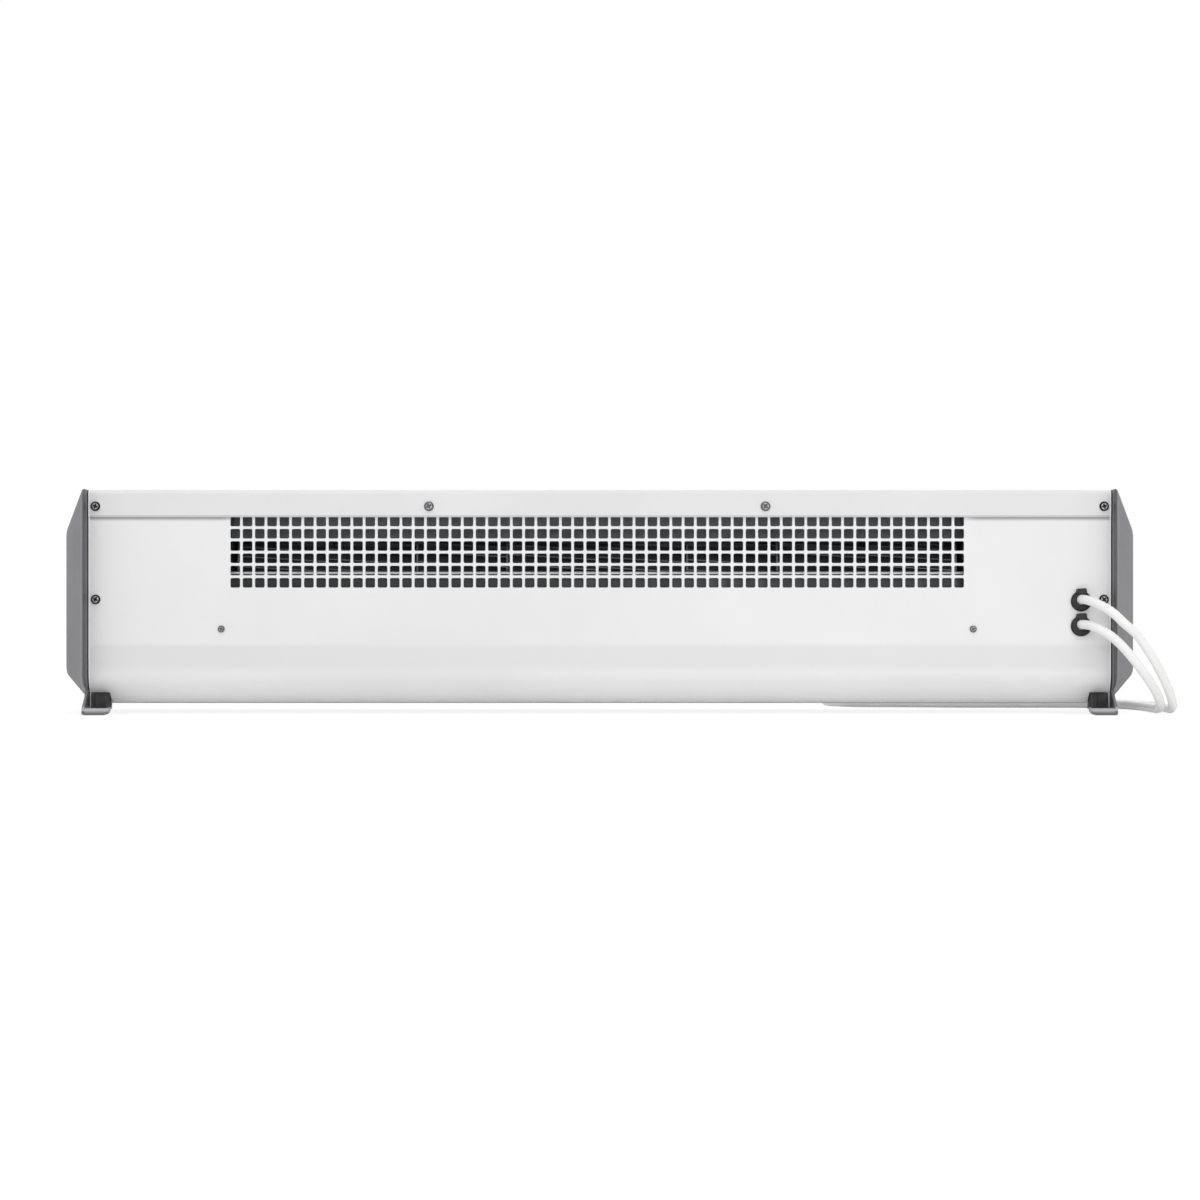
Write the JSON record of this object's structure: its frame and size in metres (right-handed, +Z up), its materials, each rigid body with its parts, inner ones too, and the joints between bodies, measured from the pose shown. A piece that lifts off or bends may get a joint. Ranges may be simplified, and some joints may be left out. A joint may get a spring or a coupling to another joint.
{
  "type": "air curtain",
  "caption": "Long white overdoor air curtain with grey end caps, a punched rear intake grille, a crossflow fan, heating rods and tilting outlet vanes.",
  "frame": {"origin": "centre of the rectangle that the object covers, on the surface that its feet stand on, cords left out", "axes": "+X along the case, to the right as seen from the intake side; +Y from the intake side to the front; +Z up"},
  "size_m": [1.1024, 0.3358, 0.22],
  "materials": {
    "white_painted_steel": "fine powder coat, satin",
    "grey_moulded_plastic": "fine moulded grain",
    "black_rubber": "moulded, dull",
    "zinc_plated_screw": "zinc plated",
    "galvanised_sheet": "galvanised, faint spangle",
    "aluminium": "mill finish",
    "steel_shaft": "ground",
    "motor_paint": "dark enamel",
    "bronze_bush": "sintered",
    "heater_steel": "heat-tinted steel",
    "black_nylon": "moulded",
    "white_cord_pvc": "soft PVC sheath",
    "white_nylon": "moulded",
    "circuit_board": "solder mask",
    "relay_case": "moulded"
  },
  "bodies": {
    "case": {"bearing_holder": "black_rubber", "bulkhead_left": "galvanised_sheet", "bulkhead_right": "galvanised_sheet", "bulkhead_screw_left": "zinc_plated_screw", "bulkhead_screw_right": "zinc_plated_screw", "control_board": "circuit_board", "control_bushing": "black_nylon", "control_bushing_wedge": "black_nylon", "control_cord": "white_cord_pvc", "control_cord_coil": "white_cord_pvc", "control_cord_end": "white_cord_pvc", "control_cord_tail": "white_cord_pvc", "cover_screw_1": "zinc_plated_screw", "cover_screw_2": "zinc_plated_screw", "cover_screw_3": "zinc_plated_screw", "cover_screw_4": "zinc_plated_screw", "duct_rear_wall": "galvanised_sheet", "duct_scroll": "galvanised_sheet", "electrics_plate": "galvanised_sheet", "end_cap_left": "grey_moulded_plastic", "end_cap_right": "grey_moulded_plastic", "end_plate_left": "white_painted_steel", "end_plate_right": "white_painted_steel", "fan_bearing": "bronze_bush", "floor_plate_left": "white_painted_steel", "floor_plate_right": "white_painted_steel", "front_cover": "white_painted_steel", "front_foot_pad_left": "black_rubber", "front_foot_pad_right": "black_rubber", "heater_element_1": "heater_steel", "heater_element_2": "heater_steel", "heater_element_3": "heater_steel", "motor_capacitor": "white_nylon", "motor_cradle": "galvanised_sheet", "motor_housing": "motor_paint", "motor_strap": "galvanised_sheet", "outlet_frame": "white_painted_steel", "rear_foot_block_left": "black_rubber", "rear_foot_block_right": "black_rubber", "rear_panel": "white_painted_steel", "relay_1": "relay_case", "relay_2": "relay_case", "side_screw_left": "zinc_plated_screw", "side_screw_right": "zinc_plated_screw", "supply_bushing": "black_nylon", "supply_bushing_wedge": "black_nylon", "supply_cord": "white_cord_pvc", "supply_cord_coil": "white_cord_pvc", "supply_cord_end": "white_cord_pvc", "supply_cord_tail": "white_cord_pvc", "terminal_block": "white_nylon", "thermal_cutout": "black_nylon"},
    "fan": {"fan_impeller": "aluminium", "motor_rotor": "steel_shaft", "fan_stub_shaft": "steel_shaft"},
    "vane_1": {"outlet_vane_1": "aluminium"},
    "vane_2": {"outlet_vane_2": "aluminium"},
    "vane_3": {"outlet_vane_3": "aluminium"},
    "link": {"vane_link": "aluminium"}
  },
  "joints": [
    {"name": "fan_spin", "type": "hinge", "parent": "case", "child": "fan", "pos_m": [-0.0025, 0.006, 0.146], "axis": [1, 0, 0], "continuous": true},
    {"name": "vane_tilt", "type": "hinge", "parent": "case", "child": "vane_1", "pos_m": [-0.0025, 0.0012, 0.0205], "axis": [1, 0, 0], "range_deg": [-30, 30]},
    {"name": "vane_2_tilt", "type": "hinge", "parent": "case", "child": "vane_2", "pos_m": [-0.0025, 0.02, 0.0205], "axis": [1, 0, 0], "range_deg": [-30, 30]},
    {"name": "vane_3_tilt", "type": "hinge", "parent": "case", "child": "vane_3", "pos_m": [-0.0025, 0.0388, 0.0205], "axis": [1, 0, 0], "range_deg": [-30, 30]},
    {"name": "link_turn", "type": "hinge", "parent": "vane_1", "child": "link", "pos_m": [-0.3582, 0.0012, 0.0273], "axis": [1, 0, 0], "range_deg": [-30, 30]}
  ],
  "couplings": [
    {"joint": "vane_2_tilt", "follows": "vane_tilt", "ratio": 1},
    {"joint": "vane_3_tilt", "follows": "vane_tilt", "ratio": 1},
    {"joint": "link_turn", "follows": "vane_tilt", "ratio": -1}
  ]
}
